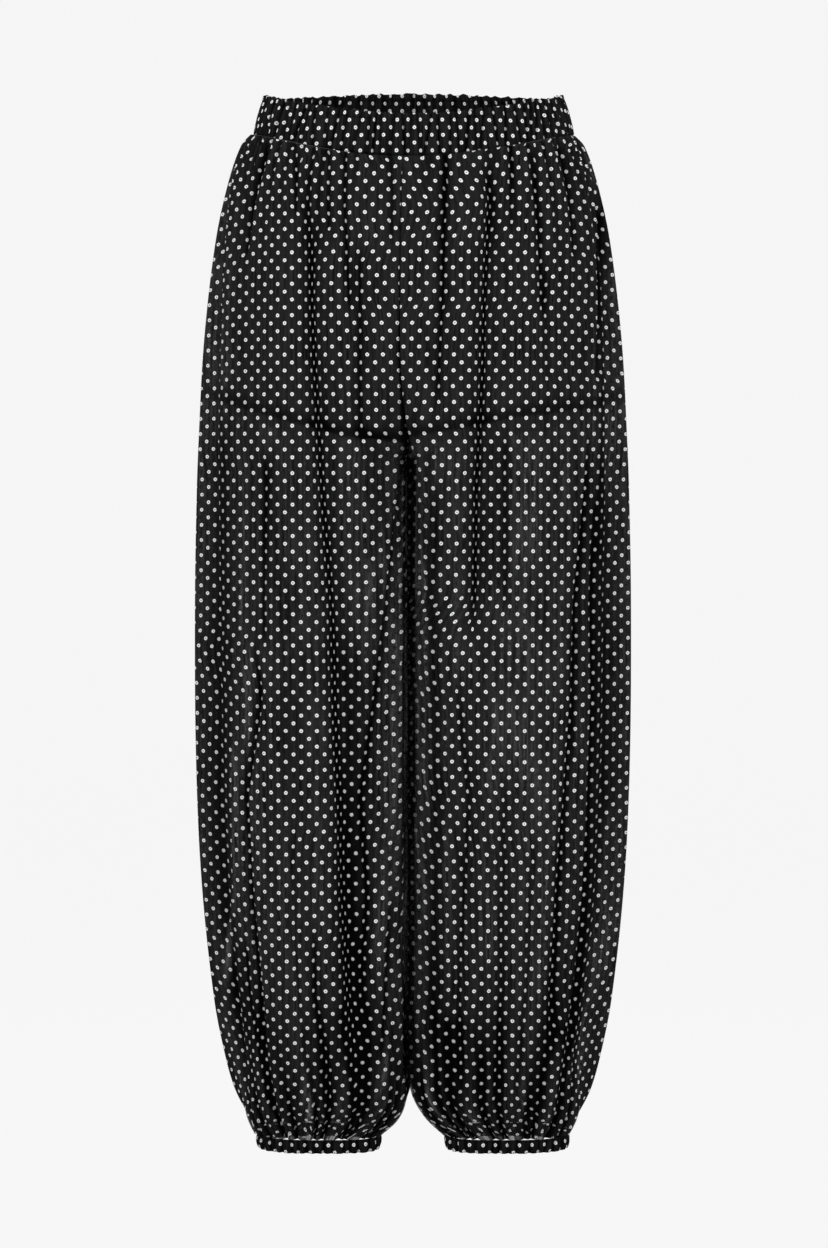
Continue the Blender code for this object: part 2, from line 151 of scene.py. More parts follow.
# %% Half a section, and the maps of the front and the back
QUARTER_STEPS = 130
MAP_HEIGHTS = -np.unique(np.concatenate((
    np.arange(4.0, 984.0, 2.0),
    [seam - step for seam in (285.0, 313.0) for step in (0.01, 0.05, 0.15, 0.4, 0.8, 1.4, 2.2, 3.2, 4.5)],
    [285.01, 313.01],
)))
MAP_SHARES = np.linspace(0.0, 1.0, 361)


def half_section(kind, face, height):
    """x from the centre plane and y away from the side seam, from the inner edge to the side seam."""
    crotch, rise = CROTCH[kind]
    depth, inner, gap = (size_at(kind, what, height) for what in (face, "inner", "gap"))
    above = min(1.0, max(0.0, (height - crotch) / rise))
    edge = (depth - size_at(kind, "sunk", height)) * math.sqrt(1.0 - (1.0 - above) ** 2)
    turn = 0.5 * math.pi * np.arange(QUARTER_STEPS) / QUARTER_STEPS
    out_x = inner * np.cos(turn) ** (2.0 / INNER_ROUNDNESS[face])
    out_y = (depth - edge) * np.sin(turn) ** (2.0 / INNER_ROUNDNESS[face])
    across = size_at(kind, "width", height) - gap - inner
    wide = size_at(kind, "filled", height) * across * np.sin(turn) ** (2.0 / FRONT_ROUNDNESS)
    deep = depth * np.cos(turn) ** (2.0 / FRONT_ROUNDNESS)
    kept = ~((wide > 0.5 * across) & (deep < WING_SLOPE * (across - wide)))
    start = MID_GAP if edge > 0.0 else gap
    x = np.concatenate(([start], gap + inner - out_x[1:], gap + inner + wide[kept], [gap + inner + across]))
    y = np.concatenate(([edge], edge + out_y[1:], deep[kept], [0.0]))
    return x, y


def form_map(kind, face):
    """Sections at all heights of the map, each spaced out evenly, with their lengths."""
    xs, ys, lengths = [], [], []
    for height in MAP_HEIGHTS:
        x, y = half_section(kind, face, height)
        run = np.concatenate(([0.0], np.cumsum(np.hypot(np.diff(x), np.diff(y)))))
        xs.append(np.interp(MAP_SHARES * run[-1], run, x))
        ys.append(np.interp(MAP_SHARES * run[-1], run, y))
        lengths.append(run[-1])
    return np.array(xs), np.array(ys), np.array(lengths)


def look_up(grid, height, share):
    """A value of a map between its heights and its shares."""
    i = np.interp(-height, -MAP_HEIGHTS, np.arange(len(MAP_HEIGHTS))).clip(0.0, len(MAP_HEIGHTS) - 1.001)
    j = np.clip(share, 0.0, 1.0) * (len(MAP_SHARES) - 1.001)
    a, b = i.astype(int), j.astype(int)
    i, j = i - a, j - b
    top = grid[a, b] * (1.0 - j) + grid[a, b + 1] * j
    return top * (1.0 - i) + (grid[a + 1, b] * (1.0 - j) + grid[a + 1, b + 1] * j) * i


def on_form(face_map, height, share):
    """How far round the section a share lies, the section's length, the share and the point of the form.

    The point has x and y, and a direction that faces outwards there. It is kept off the seams.
    """
    length = np.interp(-height, -MAP_HEIGHTS, face_map[2])
    run = np.clip(share * length, MID_GAP, length - MID_GAP)
    share, near = run / length, 0.004
    x, y = look_up(face_map[0], height, share), look_up(face_map[1], height, share)
    out_x = look_up(face_map[1], height, share - near) - look_up(face_map[1], height, share + near)
    out_y = look_up(face_map[0], height, share + near) - look_up(face_map[0], height, share - near)
    return run, length, share, (x, y, out_x, out_y)


MAPS = {(kind, face): form_map(kind, face) for kind in ("outer", "lining") for face in FACES}
print("cloth round one leg's front, half-way down:", round(float(MAPS["outer", "front"][2][260])), "mm")


# %% [markdown]
# ## Creases
#
# The gathers and folds are what make these trousers. Each crease is placed one by one: a depth, the
# widths of its two sides, and a path of heights and distances from the centre, as seen from the
# front. A negative depth is a ridge. A crease with one narrow and one wide side looks like cloth that
# has fallen over itself, which is how a fold in thin cloth mostly looks. The small gathers at the waist
# and at the cuffs are too many to place one by one, so they are spaced out with a seeded, uneven step.

# %% The large folds
# Depth, covering with its painted shade, width of the side towards the centre, width of the other side,
# heights, distances there. Covering says how much cloth lies in the crease: 1 is too much for light to
# pass, and a negative value is a streak where the cloth lies single and lets more light through. The same
# value darkens the cloth's colour and greys its dots: painted shade in the crease. Rows of depth 0 lay
# only this painted shade, with less light passing.
FOLDS = {}
FOLDS["right_leg_front"] = [
    (12, 0.75, 18, 6, (-14, -76, -168, -242, -335, -446, -538, -630, -723, -815, -889, -935), (100, 101, 98,
     93, 86, 78, 75, 71, 68, 62, 56, 53)),
    (0, 0.6, 28, 12, (-450, -538, -600, -700, -800, -900), (68, 56, 56, 60, 60, 58)),
    (5, 0.6, 6, 5, (-12, -30, -79, -135), (141, 143, 155, 163)),
    (4.5, 0.6, 5, 4, (-12, -40, -95), (112, 112, 111)),
    (4.5, 0.6, 4, 5, (-16, -69, -110), (79, 79, 78)),
    (6, 0.75, 5, 4, (-12, -76, -150, -190), (63, 64, 60, 57)),
    (5.5, 0.7, 9, 5, (-110, -168, -242, -310), (50, 49, 49, 48)),
    (5, 0.6, 5, 4, (-12, -76, -120), (24, 19, 20)),
    (6, 0.8, 4, 3.5, (-100, -168, -242, -300, -335, -446, -538, -630, -723, -815, -889), (15, 12, 12, 13,
     19, 27, 37, 49, 43, 49, 50)),
    (0, 0.4, 22, 14, (-280, -335, -410), (36, 36, 32)),
    (0, 0.6, 5, 6, (-650, -723, -800), (15, 17, 16)),
    (-3, -0.5, 5, 5, (-360, -446, -538, -630, -723, -830), (12, 16, 23, 24, 30, 39)),
    (0, 0.85, 40, 34, (-225, -335, -446, -630, -723, -815, -910), (181, 182, 182, 181, 179, 169, 152)),
    (3.5, 0.6, 7, 6, (-300, -335, -446, -500), (140, 138, 141, 140)),
    (0, 0.45, 16, 13, (-280, -335, -446, -600, -680), (134, 134, 122, 118, 120)),
    (5.5, 0.95, 6, 5, (-480, -538, -630, -723, -815, -889), (146, 145, 160, 155, 147, 141)),
    (-2, -0.8, 4, 4, (-300, -335, -446, -538, -600), (158, 153, 162, 155, 153)),
    (-2.5, -1.2, 5, 5, (-570, -630, -723, -780, -830), (170, 170, 170, 176, 181)),
    (4, 0.8, 12, 11, (-760, -815, -889, -940), (162, 158, 146, 136)),
    (4, 0.6, 4, 4, (-745, -815, -870, -935), (92, 93, 84, 78)),
    (4.5, 0.8, 4, 4, (-720, -815, -889), (24, 27, 30)),
    (0, 0.5, 20, 18, (-820, -889, -940), (62, 62, 58)),
    (3.5, 0.4, 6, 8, (-640, -740, -860, -930), (110, 112, 104, 96)),
]
FOLDS["left_leg_front"] = [
    (12, 0.75, 6, 9, (-14, -48, -76, -168, -242, -300, -335, -420, -500), (64, 66, 69, 64, 62, 58, 56, 54,
     52)),
    (6, 0.7, 5, 6, (-14, -48, -76, -168, -230, -280), (30, 29, 27, 25, 22, 20)),
    (0, 0.72, 13, 11, (-285, -335, -446, -538, -630, -723, -815, -910), (15, 18, 14, 17, 18, 17, 15, 16)),
    (4, 0.6, 4, 5, (-14, -66, -110), (90, 89, 89)),
    (4.5, 0.55, 5, 6, (-12, -57, -135, -190), (112, 113, 117, 120)),
    (5, 0.6, 6, 6, (-14, -40, -76, -135), (135, 142, 147, 150)),
    (4.5, 0.6, 7, 7, (-60, -88, -168, -252), (171, 176, 176, 172)),
    (3.5, 0.4, 6, 6, (-130, -180, -250), (122, 122, 124)),
    (6.5, 0.9, 7, 6, (-250, -335, -446, -538, -630, -723, -815, -900), (165, 163, 152, 150, 143, 136, 132,
     134)),
    (4, 0.6, 7, 8, (-330, -446, -538, -630, -723, -815, -900), (169, 167, 169, 166, 162, 155, 146)),
    (0, 0.9, 42, 36, (-290, -400, -538, -630, -723, -815, -910), (178, 178, 178, 177, 171, 160, 146)),
    (0, 0.75, 14, 24, (-30, -76, -168, -242, -300, -420), (172, 177, 178, 178, 177, 174)),
    (-3.5, -0.5, 5, 5, (-390, -446, -538, -630, -723, -830), (23, 29, 32, 36, 33, 31)),
    (5, 0.6, 4, 9, (-490, -538, -630, -723, -815, -889, -935), (37, 40, 50, 44, 40, 44, 50)),
    (0, 0.4, 14, 12, (-290, -335, -440), (78, 78, 74)),
    (4, 0.45, 5, 4, (-270, -402, -470), (85, 85, 85)),
    (0, -0.15, 9, 9, (-290, -335, -600, -760), (100, 102, 100, 101)),
    (-2, -0.5, 5, 5, (-640, -723, -815), (188, 181, 187)),
    (5, 0.45, 7, 8, (-600, -740, -860, -935), (84, 82, 80, 78)),
    (4.5, 0.45, 7, 6, (-650, -760, -880, -940), (112, 108, 100, 94)),
    (0, 0.5, 18, 18, (-830, -889, -940), (42, 44, 50)),
    (0, 0.55, 10, 10, (-840, -889, -940), (144, 142, 134)),
]
FOLDS["right_leg_back"] = [
    (12, 0.9, 11, 24, (-5, -69, -143, -280, -410, -567, -700, -790, -930), (78, 86, 91, 88, 80, 74, 70, 66,
     58)),
    (6.5, 0.6, 9, 12, (0, -60, -170, -300, -380), (40, 42, 44, 40, 38)),
    (5, 0.6, 10, 7, (4, -60, -150, -240), (20, 21, 22, 20)),
    (4.5, 0.6, 7, 7, (-5, -60, -120), (60, 62, 64)),
    (6.5, 0.6, 14, 10, (-12, -120, -280, -430), (108, 118, 122, 116)),
    (7, 0.8, 14, 12, (-30, -120, -350, -600, -800, -900), (134, 156, 162, 152, 138, 126)),
    (4.5, 0.6, 8, 7, (-40, -110, -180), (162, 174, 180)),
    (5.5, 0.6, 9, 12, (-470, -600, -760, -930), (116, 112, 108, 96)),
    (5.5, 0.6, 9, 9, (-380, -520, -700, -860, -930), (26, 30, 40, 42, 46)),
    (-4, -0.35, 5, 9, (-330, -460, -600, -760, -880), (20, 24, 32, 52, 58)),
    (-3.5, -0.35, 4, 9, (-380, -520, -760), (150, 158, 152)),
]
FOLDS["left_leg_back"] = [
    (12, 0.9, 24, 11, (-5, -69, -143, -280, -410, -567, -700, -790, -920), (70, 76, 82, 80, 73, 66, 61, 57,
     50)),
    (6, 0.6, 9, 9, (4, -60, -160, -270), (26, 27, 30, 28)),
    (4.5, 0.6, 7, 8, (0, -50, -120), (48, 50, 54)),
    (5.5, 0.6, 10, 12, (-10, -90, -200, -310), (98, 106, 112, 110)),
    (7, 0.6, 12, 14, (-15, -120, -300, -460, -570), (120, 136, 142, 136, 128)),
    (7, 0.8, 14, 11, (-30, -120, -350, -600, -800, -900), (136, 160, 168, 158, 144, 130)),
    (5.5, 0.6, 10, 12, (-610, -760, -860, -940), (98, 96, 92, 84)),
    (5, 0.6, 10, 9, (-350, -500, -680, -820, -930), (34, 36, 44, 40, 44)),
    (-4, -0.35, 8, 5, (-320, -470, -620, -800), (16, 22, 30, 36)),
    (-3.5, -0.35, 8, 4, (-620, -740, -870), (148, 144, 128)),
    (3.5, 0.5, 8, 8, (-60, -130, -210), (148, 156, 162)),
]
print("folds placed by hand:", sum(len(folds) for folds in FOLDS.values()))

# %% Depth and cover of creases over a panel
FOLD_EASE = 0.14  # share of a fold's length over which it rises at each end


def crease(off, inner_width, outer_width):
    """A soft groove: 1 in its middle, falling to 0 on each side over that side's width."""
    return bell(off, 0.0, np.where(off < 0.0, inner_width, outer_width))


def path_share(face_map, levels, distances, height, side=0, depth=0.0):
    """Where a path of levels and distances runs, as a share of the section at each height.

    With a side, the distances are those seen from the front, so how far the cloth leans is taken off.
    """
    distance = np.interp(-MAP_HEIGHTS, -np.array(levels, float), np.array(distances, float))
    distance = distance - side * lean(distance, depth, MAP_HEIGHTS)
    shares = [np.interp(x, row, MAP_SHARES) for x, row in zip(distance, face_map[0])]
    return np.interp(-height, -MAP_HEIGHTS, shares)


def gathers(seed, count, low=0.03, high=0.97):
    """Uneven places, depths, widths and lengths of small gathers along a seam."""
    draw = np.random.RandomState(seed)
    steps = draw.uniform(0.55, 1.45, count + 1)
    places = low + (high - low) * np.cumsum(steps)[:-1] / steps.sum()
    depths, widths = draw.uniform(0.45, 1.0, count), draw.uniform(0.75, 1.3, count)
    return places, depths, widths, draw.uniform(0.3, 1.0, count) ** 1.6


print("gathers of one seam:", np.round(gathers(1, 5)[0], 2))

# %% [markdown]
# ## The leg panels
#
# A leg is sewn from a front and a back. Each starts as a flat grid, as the cut cloth does, with its
# columns along the grain. A function moves the grid to the form and presses the creases in. Then the
# printed pattern needs its own coordinates: a map of how much cloth lies between two points, in
# metres. Where the cloth is gathered there is more of it than shows, so the map runs faster there
# and the dots crowd together, as they do on the real trousers.

# %% Placing a section's point in the trousers
def lean(x, y, height):
    """How far the centre seams stand to one side; the insides of the legs press together in a wave."""
    wave = LEAN_WAVE * np.sin(2.0 * np.pi * y / LEAN_WAVE_LENGTH)
    sideways = (LEAN_MIDDLE + LEAN_PER_DEPTH * y + wave) * np.maximum(0.0, 1.0 - np.abs(x) / LEAN_REACH)
    return sideways * smooth((height - LEAN_NONE) / (LEAN_FULL - LEAN_NONE))


def seam_fade(run, length):
    """0 at the seams, and 1 from a short way off them."""
    return smooth(run / SEAM_EASE) * smooth((length - run) / SEAM_EASE)


def cloth_points(side, face, form, height, push):
    """Points of the form pushed outwards and placed in the trousers, with their x on the left leg."""
    x, y, out_x, out_y = form
    size = np.maximum(1e-6, np.hypot(out_x, out_y))
    x, y = np.maximum(x + push * out_x / size, MID_GAP), y + push * out_y / size
    y_world = -y if face == "front" else y
    return x, np.stack((side * x + lean(x, y_world, height), y_world, height), axis=2)


def sloped(edge, face, share):
    """Height along an edge that is given at the centre and at the side."""
    return edge["side"] + (edge[face] - edge["side"]) * np.cos(0.5 * np.pi * share) ** 2


def cloth_grid(name, columns, rows, points, cloth, open_and_unshaded, outward):
    """A grid of cloth moved to its points, with its flat coordinates, how open it is to light and how
    little painted shade it takes.
    """
    bpy.ops.object.select_all(action="DESELECT")
    bpy.ops.mesh.primitive_grid_add(x_subdivisions=columns, y_subdivisions=rows, size=1.0)
    piece = bpy.context.object
    piece.name = f"{name}_cloth"
    mesh = piece.data
    mesh.name = piece.name
    # A grid's rows run upwards, and these rows run down.
    mesh.vertices.foreach_set("co", (points[::-1] * MM).astype(np.float32).ravel())
    if not outward:
        mesh.flip_normals()
    corners = np.zeros(len(mesh.loops), dtype=np.int32)
    mesh.loops.foreach_get("vertex_index", corners)
    flat = (cloth[::-1] * MM).reshape(-1, 2)[corners]
    mesh.uv_layers.active.data.foreach_set("uv", flat.astype(np.float32).ravel())
    # The attribute open also says how far the colour is darkened with painted shade.
    open_and_shade_values = mesh.attributes.new("open", "FLOAT", "POINT").data
    open_and_shade_values.foreach_set("value", open_and_unshaded[::-1].astype(np.float32).ravel())
    mesh.update()
    return piece


def thicken(piece, wall, offset=-1.0):
    """Gives the cloth its thickness and shades it smooth."""
    bpy.ops.object.select_all(action="DESELECT")
    piece.select_set(True)
    bpy.context.view_layer.objects.active = piece
    shell = piece.modifiers.new("cloth", "SOLIDIFY")
    shell.thickness = wall * MM
    shell.offset = offset
    shell.use_even_offset = False
    bpy.ops.object.modifier_apply(modifier=shell.name)
    bpy.ops.object.shade_smooth()
    piece.data.calc_loop_triangles()
    print(piece.name, "has", len(piece.data.loop_triangles), "triangles")
    return piece


def flat_map(points, level, tucked, let_in, held_rows, plumb, facing=1.0):
    """Coordinates in the flat cloth, with the gathered cloth let out along each row.

    Across, they are measured from a plumb line at a distance from the centre plane, and down, from the
    row at a level height. A step down counts only as far as it leaves the row it starts from. The rows
    outside the two held ones are gathered in from those rows' widths.
    """
    fall = np.diff(points, axis=1)
    depth_share = np.broadcast_to(facing, points.shape[:2])
    fall[:, :, 1] *= 0.5 * (depth_share[:, 1:] + depth_share[:, :-1])
    step = np.linalg.norm(fall, axis=2) * (1.0 + 0.5 * (tucked[:, 1:] + tucked[:, :-1]))
    weight = (0.5 * (let_in[:, 1:] + let_in[:, :-1]) + 0.05) * step
    width = step.sum(axis=1)
    first, last = held_rows
    rows = np.arange(len(points))
    wanted = np.where(rows < first, width[first], np.where(rows > last, width[last], 0.0))
    spare = np.maximum(0.0, wanted - width)[:, None]
    let_out = step + spare * weight / weight.sum(axis=1, keepdims=True)
    u = np.concatenate((np.zeros((len(points), 1)), np.cumsum(let_out, axis=1)), axis=1)
    if plumb:
        middle = [np.interp(plumb, np.abs(row[:, 0]), across) for row, across in zip(points, u)]
        u -= np.array(middle)[:, None]
    along_row = np.gradient(points, axis=1)
    along_row /= np.maximum(1e-9, np.linalg.norm(along_row, axis=2, keepdims=True))
    fall = np.diff(points, axis=0)
    fall -= (fall * along_row[:-1]).sum(axis=2, keepdims=True) * along_row[:-1]
    v = np.concatenate((np.zeros((1, points.shape[1])), np.cumsum(np.linalg.norm(fall, axis=2), axis=0)))
    start = np.argmin(np.abs(points[:, 0, 2] - level))
    v = v - v[start] - points[start, :, 2]
    return np.stack((u, -v), axis=2)


print("cloth helpers ready")

# %% Where the panel's own columns stand
# Two columns of each front and back, counted in 24ths of its width, are led down the leg by their
# distance from the centre plane.
LED_OF = 24
LED_HEIGHTS = (-12, -69, -143, -280, -410, -567, -700, -790)
LED_COLUMNS = {
    "right_leg_front": (
        (10, (104, 104, 103, 93, 84, 77, 71, 67)),
        (17, (147, 163, 173, 173, 161, 154, 150, 146)),
    ),
    "left_leg_front": (
        (8, (66, 66, 66, 64, 53, 48, 45, 44)),
        (17, (150, 163, 169, 172, 160, 147, 138, 134)),
    ),
    "right_leg_back": (
        (9, (78, 86, 91, 88, 80, 74, 70, 66)),
        (18, (138, 155, 168, 177, 173, 168, 163, 156)),
    ),
    "left_leg_back": (
        (8, (70, 76, 82, 80, 73, 66, 61, 57)),
        (18, (140, 158, 170, 180, 178, 173, 168, 160)),
    ),
}


def column_share(name, face_map, share, height):
    """Share of the section at which a share of the panel's columns stands."""
    (first, first_line), (second, second_line) = LED_COLUMNS[name]
    hold = smooth((-15.0 - height) / 60.0) * (1.0 - smooth((-790.0 - height) / 135.0))
    a, b = (path_share(face_map, LED_HEIGHTS, line, height) for line in (first_line, second_line))
    ca, cb = first / LED_OF, second / LED_OF
    between_them = a + (b - a) * (share - ca) / (cb - ca)
    beyond = b + (1.0 - b) * (share - cb) / (1.0 - cb)
    led = np.where(share < ca, a * share / ca, np.where(share < cb, between_them, beyond))
    return share + hold * (led - share)


print("led columns:", {name: [line[0] for line in lines] for name, lines in LED_COLUMNS.items()})

# %% One leg panel
LEG_GRID = (160, 250)  # columns and rows of the cloth
HIP_LINE, KNEE_LINE = -200.0, -660.0  # above and below these the cut keeps its width and is gathered in
INNER_FACING, SIDE_FACING = 0.25, 0.30  # how much of the depth counts in the print there
LEVEL_ROW = -215.0  # below this height the rows are level
GRAIN_LINE = 118.0  # distance from the centre plane at which the pattern's columns hang plumb
SEAM_EASE = 9.0  # the creases fade out over this distance from a seam
WAIST_SEAM, HEM_MIDDLE, CUFF_SEAM = -6.1, -278.0, -966.2  # heights of the seams and the hem at the side
SEAM_GATHERS = 17
TUCK = 0.15  # how much more cloth lies in a fold, for each millimetre of its depth
HEM_SHADOW = 18.0  # height of the band where the lining's hem lies behind the cloth: a painted shadow there
HEM_SHARES = (0.0, 0.15, 0.30, 0.42, 0.55, 0.70, 0.85, 1.0)
HEM_HEIGHTS = {
    "right_front": (-298, -296, -291, -280, -270, -262, -257, -254),
    "left_front": (-298, -292, -283, -274, -269, -265, -261, -257),
    "right_back": (-298, -298, -295, -290, -282, -272, -262, -254),
    "left_back": (-298, -297, -294, -288, -281, -273, -264, -257),
}


def lining_hem(name, share):
    """Height of the lining's hem: it curves up unevenly towards the side seam."""
    hem = "_".join(part for part in name.split("_") if part not in ("leg", "lining"))
    return np.interp(share, HEM_SHARES, HEM_HEIGHTS[hem])


def row_heights(count):
    """Heights of the rows at the side seam, closer together at the waist, the lining's hem and the cuff."""
    level = np.linspace(WAIST_SEAM, CUFF_SEAM, 2000)
    crowd = 1.0 + 1.5 * bell(level, HEM_MIDDLE, 32.0)
    crowd += 1.3 * bell(level, WAIST_SEAM, 70.0) + 1.3 * bell(level, CUFF_SEAM, 90.0)
    run = np.concatenate(([0.0], np.cumsum(0.5 * (crowd[1:] + crowd[:-1]))))
    return np.interp(np.linspace(0.0, run[-1], count), run, level)


def slope_share(height):
    """How much of the waist seam's slope is left at a height."""
    return 1.0 - smooth((-height - 4.0) / 190.0)


def seam_gathers(seed, away, reach, power, spread, run, length):
    """The depth of each gather of a seam, with its groove and its core at a distance from the seam."""
    for place, deep, wide, long in zip(*gathers(seed, SEAM_GATHERS)):
        fade = np.exp(-((away / (reach[0] + reach[1] * long)) ** power))
        width, off = (spread[0] + spread[1] * away) * wide, run - place * length
        yield deep, fade * crease(off, width, width), fade * crease(off, 0.6 * width, 0.6 * width)


def leg_relief(name, face_map, height, share, run, length):
    """How deep the cloth is pressed in, how little light passes there and how much painted shade darkens it
    in creases, gathers and behind the lining's hem, and how much cloth is tucked away.
    """
    depth, cover_and_shade, tucked, let_in = (np.zeros_like(share) for _ in range(4))
    side = 1 if name.startswith("left") else -1
    front = name.endswith("front")
    face_depth = -along(OUTER_SECTIONS, 2, MAP_HEIGHTS) if front else along(OUTER_SECTIONS, 3, MAP_HEIGHTS)
    for deep, cover_and_shade_amount, inner_width, outer_width, levels, distances in FOLDS[name]:
        s = (levels[0] - height) / (levels[0] - levels[-1])
        fade = smooth(s / FOLD_EASE) * smooth((1.0 - s) / FOLD_EASE)
        off = run - path_share(face_map, levels, distances, height, side, face_depth) * length
        groove = fade * crease(off, inner_width, outer_width)
        core = fade * crease(off, 0.22 * inner_width + 0.6, 0.22 * outer_width + 0.6)
        depth += deep * (0.75 * groove + 0.25 * core)
        # Less light passes in the crease, and its colour is painted darker: painted shade.
        cover_and_shade += cover_and_shade_amount * (0.7 * groove + (0.7 * core if deep > 0.0 else 0.3 * groove))
        tucked += max(0.0, deep) * TUCK * core
    seed = sorted(FOLDS).index(name)
    below, above = np.maximum(0.0, WAIST_SEAM - height), np.maximum(0.0, height - CUFF_SEAM)
    # Gathers under the waist seam: their grooves let less light through and take painted shade.
    for deep, groove, core in seam_gathers(10 + seed, below, (20.0, 110.0), 1.6, (2.2, 0.035), run, length):
        depth += (2.6 + 3.0 * deep) * groove
        let_in += core
        cover_and_shade += (0.5 + 0.4 * deep) * groove
    # Gathers over the cuff seam: grooves take painted shade and let less light through; every third is a
    # ridge that lets more through.
    at_cuff = seam_gathers(20 + seed, above, (40.0, 90.0), 1.5, (2.0, 0.045), run, length)
    for i, (deep, groove, core) in enumerate(at_cuff):
        ridge = i % 3 == 1
        depth += (-2.5 if ridge else 2.5 + 5.0 * deep) * groove
        let_in += core
        cover_and_shade += (-1.3 if ridge else 0.7 + 0.7 * deep) * groove
    # Less light passes, and the colour takes more painted shade, towards the cuffs.
    cover_and_shade += 0.33 * smooth((-790.0 - height) / 110.0)
    # A painted shadow of the lining's hem: less light passes and the colour is darkened in a band over the
    # hem.
    hem = lining_hem(name, share) - height
    band = smooth((hem + HEM_SHADOW) / 15.0) * smooth((2.5 - hem) / 2.5)
    cover_and_shade += (0.68 - 0.4 * smooth((share - 0.6) / 0.3)) * band
    return depth, cover_and_shade, tucked, let_in


def openness_and_light(cover_and_shade):
    """How open the cloth is to light, and how little painted shade darkens it: 1 where it lies single, 0 in
    a full crease, more in a streak.
    """
    return np.clip(1.0 - cover_and_shade, 0.0, 1.5)


def leg_panel(side, face):
    name = f"{SIDES[side]}_leg_{face}"
    face_map = MAPS["outer", face]
    columns, rows = LEG_GRID
    share, level = np.meshgrid(np.linspace(0.0, 1.0, columns + 1), row_heights(rows + 1))
    height = level + slope_share(level) * (sloped(BAND_BOTTOM, face, share) - BAND_BOTTOM["side"])
    share = column_share(name, face_map, share, height)
    run, length, share, form = on_form(face_map, height, share)
    depth, cover_and_shade, tucked, let_in = leg_relief(name, face_map, height, share, run, length)
    crest = (1.4 - 4.0 * smooth((form[0] - 100.0) / 50.0)) * bell(height, WAIST_SEAM, 36.0)
    crest += 2.6 * smooth((-880.0 - height) / 80.0)
    x, points = cloth_points(side, face, form, height, (crest - depth) * seam_fade(run, length))
    held_rows = [int(np.argmin(np.abs(level[:, 0] - line))) for line in (HIP_LINE, KNEE_LINE)]
    facing = INNER_FACING + (1.0 - INNER_FACING) * smooth((x - 12.0) / 60.0)
    at_side = smooth((x - 135.0) / 25.0) * (1.0 - smooth((-height - 800.0) / 100.0))
    facing = facing - (1.0 - SIDE_FACING) * at_side
    cloth = flat_map(points, LEVEL_ROW, tucked, let_in, held_rows, GRAIN_LINE, facing)
    near_seam = bell(height, WAIST_SEAM, 30.0) + bell(height, CUFF_SEAM, 26.0)
    cloth[:, :, 1] += near_seam * (2.2 * np.sin(run / 5.1 + side) + 1.8 * np.sin(run / 8.3))
    outward = (side > 0) == (face == "front")
    piece = cloth_grid(name, columns, rows, points, cloth, openness_and_light(cover_and_shade), outward)
    return thicken(piece, 0.6)


legs = {(side, face): leg_panel(side, face) for side in SIDES for face in FACES}

# %% [markdown]
# ## The short lining
#
# A lining of plain dark cloth hangs inside from the waist seam, and its hem shows through the chiffon
# as a dark line, deepened by a band of painted shadow on the chiffon over it. It hangs free, so it has
# a few soft waves and no gathers below the waist. The hem is turned up, which makes it thicker: here the
# last rows swell into a narrow roll, which lets no light through and is painted darker: painted shade.

# %% Lining panels
LINING_GRID = (72, 84)
LINING_LENGTH, HEM_DEPTH, LINING_WAVES = 290.0, 7.0, 7


def lining_heights(name, face, share, down):
    """Height of the lining at a share across and a share of the way down: its hem curves up outwards."""
    waist = sloped(BAND_BOTTOM, face, share) - 0.3
    return waist + (lining_hem(name, share) - waist) * down


def lining_panel(side, face):
    name = f"lining_{SIDES[side]}_{face}"
    face_map = MAPS["lining", face]
    columns, rows = LINING_GRID
    down = np.linspace(0.0, 1.0, rows + 1) ** 0.9
    down = np.concatenate((down[:-8], np.linspace(down[-8], 1.0, 8)))
    share, level = np.meshgrid(np.linspace(0.0, 1.0, columns + 1), down)
    height = lining_heights(name, face, share, level)
    run, length, share, form = on_form(face_map, height, share)
    depth = np.zeros_like(share)
    seed = 40 + 2 * (side > 0) + (face == "back")
    for place, deep, wide, _ in zip(*gathers(seed, LINING_WAVES)):
        depth += 3.0 * deep * smooth(level / 0.6) * crease(run - place * length, 13.0 * wide, 11.0 * wide)
    above_hem = (1.0 - level) * LINING_LENGTH
    roll = 0.9 * smooth((HEM_DEPTH - above_hem) / 1.5) * smooth(above_hem / 0.8)
    _, points = cloth_points(side, face, form, height, roll - depth * seam_fade(run, length))
    loose = np.zeros_like(share)
    cloth = flat_map(points, LEVEL_ROW, loose, loose, (0, rows), 0.0)
    # The turned-up hem lets no light through, and its colour is painted dark there: painted shade.
    open_and_unshaded = 1.0 - smooth((HEM_DEPTH - above_hem) / 1.5)
    outward = (side > 0) == (face == "front")
    return thicken(cloth_grid(name, columns, rows, points, cloth, open_and_unshaded, outward), 0.5)


linings = {(side, face): lining_panel(side, face) for side in SIDES for face in FACES}

# %% [markdown]
# ## Waistband and cuffs
#
# Elastic is sewn into a casing while it is stretched, and when it shrinks back the cloth stands up in
# small upright gathers. A band is therefore a ring whose radius goes in and out. Along its top a narrow
# frill stands free above the stitching, and the same gathers run through it less evenly.
# The troughs of the gathers, the rows of stitching and the whole cuffs are painted darker: painted shade.

# %% A gathered ring
def ring_path(kind, level):
    """Points once round the waist or one ankle, as x and y."""
    halves = {face: half_section("outer", face, level) for face in FACES}
    front, back = halves["front"], halves["back"]
    if kind == "waist":
        x = np.concatenate((-front[0][::-1], front[0], back[0][::-1], -back[0]))
        y = np.concatenate((-front[1][::-1], -front[1], back[1][::-1], back[1]))
    else:
        x = np.concatenate((front[0], back[0][::-1]))
        y = np.concatenate((-front[1], back[1][::-1]))
    step = np.hypot(np.diff(x, append=x[0]), np.diff(y, append=y[0]))
    keep = step > 1e-4
    return x[keep], y[keep]


